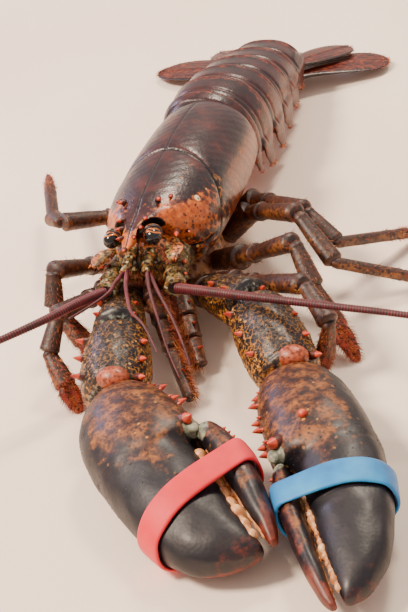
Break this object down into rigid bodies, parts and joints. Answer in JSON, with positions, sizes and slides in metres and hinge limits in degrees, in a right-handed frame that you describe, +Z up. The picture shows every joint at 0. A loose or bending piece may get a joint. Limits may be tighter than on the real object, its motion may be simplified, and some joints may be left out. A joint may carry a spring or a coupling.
{
  "type": "american lobster",
  "caption": "Still, life-size American lobster at rest on its belly, tail fan spread, both claws forward and held shut by rubber bands.",
  "frame": {"origin": "on the floor under the middle of the breast plate, on its flat underside", "axes": "+Z up, the head points along -Y, and the animal's left side is +X"},
  "size_m": [0.4166, 0.4397, 0.0604],
  "materials": {
    "back_shell": "glossy dark maroon-brown shell with orange cheeks",
    "claw_shell": "glossy brown-orange to navy-black shell, mottled",
    "leg_shell": "olive-brown and orange mottled shell",
    "tail_shell": "glossy red-brown plates with pink-orange edges",
    "underside": "pale orange-cream shell",
    "face_shell": "olive, orange and cream mottled shell",
    "feeler": "ringed maroon shell",
    "eye": "wet black",
    "coral_band": "plain coral-red rubber",
    "blue_band": "plain light-blue rubber"
  },
  "bodies": {
    "root": {"carapace": "back_shell", "sternum": "underside", "face": "face_shell", "abdomen_1": "tail_shell", "abdomen_2": "tail_shell", "abdomen_3": "tail_shell", "abdomen_4": "tail_shell", "abdomen_5": "tail_shell", "abdomen_6": "tail_shell", "telson": "tail_shell", "uropod_inner_left": "tail_shell", "uropod_outer_left": "tail_shell", "uropod_inner_right": "tail_shell", "uropod_outer_right": "tail_shell", "eye_left": "eye", "eyestalk_left": "face_shell", "antenna_base_left": "face_shell", "antenna_left": "feeler", "antenna_scale_left": "face_shell", "antennule_left": "feeler", "eye_right": "eye", "eyestalk_right": "face_shell", "antenna_base_right": "face_shell", "antenna_right": "feeler", "antenna_scale_right": "face_shell", "antennule_right": "feeler", "claw_arm_root_right": "leg_shell", "claw_arm_right": "claw_shell", "claw_knuckle_right": "claw_shell", "claw_arm_root_left": "leg_shell", "claw_arm_left": "claw_shell", "claw_knuckle_left": "claw_shell", "crusher_palm": "claw_shell", "crusher_finger": "claw_shell", "pincer_palm": "claw_shell", "pincer_finger": "claw_shell", "crusher_band": "coral_band", "pincer_band": "blue_band", "mouth_leg_left": "leg_shell", "mouth_leg_right": "leg_shell", "leg_2_left_upper": "leg_shell", "leg_2_left_lower": "leg_shell", "leg_3_left_upper": "leg_shell", "leg_3_left_lower": "leg_shell", "leg_4_left_upper": "leg_shell", "leg_4_left_lower": "leg_shell", "leg_5_left_upper": "leg_shell", "leg_5_left_lower": "leg_shell", "leg_2_right_upper": "leg_shell", "leg_2_right_lower": "leg_shell", "leg_3_right_upper": "leg_shell", "leg_3_right_lower": "leg_shell", "leg_4_right_upper": "leg_shell", "leg_4_right_lower": "leg_shell", "leg_5_right_upper": "leg_shell", "leg_5_right_lower": "leg_shell"}
  },
  "joints": []
}
